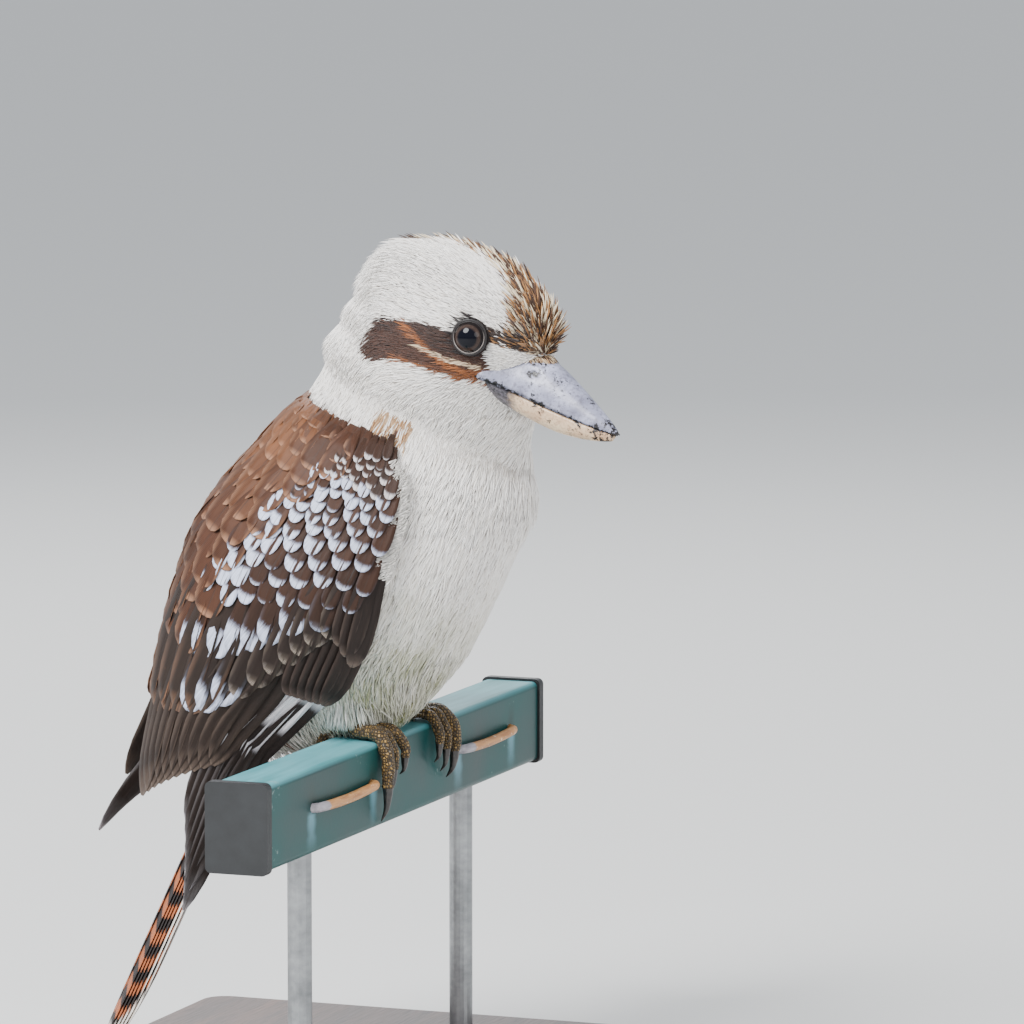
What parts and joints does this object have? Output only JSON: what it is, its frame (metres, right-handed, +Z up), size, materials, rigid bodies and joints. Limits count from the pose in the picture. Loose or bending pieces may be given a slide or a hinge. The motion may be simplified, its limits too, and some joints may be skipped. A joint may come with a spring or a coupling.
{
  "type": "perched kookaburra display model",
  "caption": "Life-size perched kookaburra with folded wings, heavy bill and barred tail, gripping a short square tube held by rods over a flat base.",
  "frame": {"origin": "middle of the underside of the stand's base", "axes": "+Z up, the perch runs along Y, and the bird's front faces +X, turned 18 degrees towards +Y"},
  "size_m": [0.25, 0.31, 0.3627],
  "materials": {
    "white_feather": "soft white body feathers with fine grey bars",
    "brown_feather": "dark brown wing feathers with pale blue-white tips",
    "tail_feather": "rufous tail feathers barred black and tipped white",
    "eye": "polished dark brown glass eye",
    "upper_bill": "satin blue-grey horn with black flecks",
    "lower_bill": "satin cream horn with dark patches",
    "foot_scale": "scaled olive-brown skin",
    "claw": "satin black horn",
    "bar_paint": "worn teal paint",
    "cap_plastic": "matt black plastic",
    "cord": "twisted tan cord",
    "stand_wood": "dark stained wood, satin",
    "rod_steel": "brushed"
  },
  "bodies": {
    "root": {"torso": "white_feather", "leg_right": "white_feather", "leg_left": "white_feather", "neck": "white_feather", "head": "white_feather", "eye_right": "eye", "eye_left": "eye", "upper_bill": "upper_bill", "lower_bill": "lower_bill", "wing_right": "brown_feather", "wing_left": "brown_feather", "tail": "tail_feather", "foot_right": "foot_scale", "foot_left": "foot_scale", "claw_right_inner": "claw", "claw_right_middle": "claw", "claw_right_outer": "claw", "claw_right_hind": "claw", "claw_left_inner": "claw", "claw_left_middle": "claw", "claw_left_outer": "claw", "claw_left_hind": "claw", "perch_bar": "bar_paint", "perch_cap_near": "cap_plastic", "perch_cap_far": "cap_plastic", "perch_cord_near": "cord", "perch_cord_far": "cord", "stand_base": "stand_wood", "stand_rod_near": "rod_steel", "stand_rod_far": "rod_steel"}
  },
  "joints": []
}
